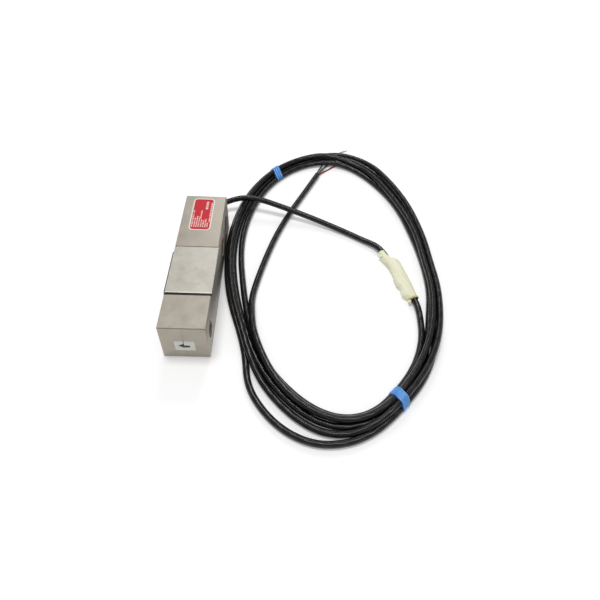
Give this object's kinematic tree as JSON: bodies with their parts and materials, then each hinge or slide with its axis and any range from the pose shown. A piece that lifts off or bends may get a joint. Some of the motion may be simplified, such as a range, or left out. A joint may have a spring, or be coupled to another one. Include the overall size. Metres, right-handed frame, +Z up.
{
  "type": "shear beam load cell",
  "caption": "Single-ended shear beam load cell: a plated steel beam with two mounting holes, a threaded load hole, sealed gauge covers, and a spliced cable tied in a coil.",
  "frame": {"origin": "under the middle of the beam block, at the height of its lower face, on which it lies", "axes": "+X across the beam, along its cross holes and its loading direction, towards the coil; +Y along the beam towards the fixed end, where the cable leaves; +Z up"},
  "size_m": [0.196, 0.3088, 0.0311],
  "materials": {
    "plated_steel": "satin nickel plating",
    "black_sealant": "soft matte",
    "clear_potting": "soft satin",
    "gauge_foil": "satin",
    "board_laminate": "satin",
    "resistor_body": "satin",
    "fine_wire": "bare copper",
    "core_insulation": "satin",
    "gland_metal": "satin nickel plating",
    "seal_rubber": "matte",
    "label_plastic": "satin, red field with a white edge",
    "sticker_paper": "matte, black arrow",
    "cable_jacket": "satin black",
    "splice_wrap": "cream wrapping tape",
    "blue_tape": "satin",
    "wire_black": "satin",
    "wire_white": "satin",
    "wire_green": "satin",
    "wire_red": "satin"
  },
  "bodies": {
    "root": {"beam_body": "plated_steel", "cover_plate_upper": "plated_steel", "cover_plate_lower": "plated_steel", "sealant_upper": "black_sealant", "sealant_lower": "black_sealant", "potting_upper": "clear_potting", "potting_lower": "clear_potting", "shear_gauge_upper": "gauge_foil", "shear_gauge_lower": "gauge_foil", "terminal_board_upper": "board_laminate", "terminal_board_lower": "board_laminate", "bridge_resistors": "resistor_body", "jumper_wires": "fine_wire", "cable_cores": "core_insulation", "gland_body": "gland_metal", "gland_seal": "seal_rubber", "gland_cap": "gland_metal", "rating_label": "label_plastic", "arrow_sticker": "sticker_paper", "cable_lead": "cable_jacket", "splice_sleeve": "splice_wrap", "cable_out": "cable_jacket", "cable_coil": "cable_jacket", "cable_tail": "cable_jacket", "tape_tie_upper": "blue_tape", "tape_tie_lower": "blue_tape", "wire_black": "wire_black", "wire_white": "wire_white", "wire_green": "wire_green", "wire_red": "wire_red"}
  },
  "joints": []
}
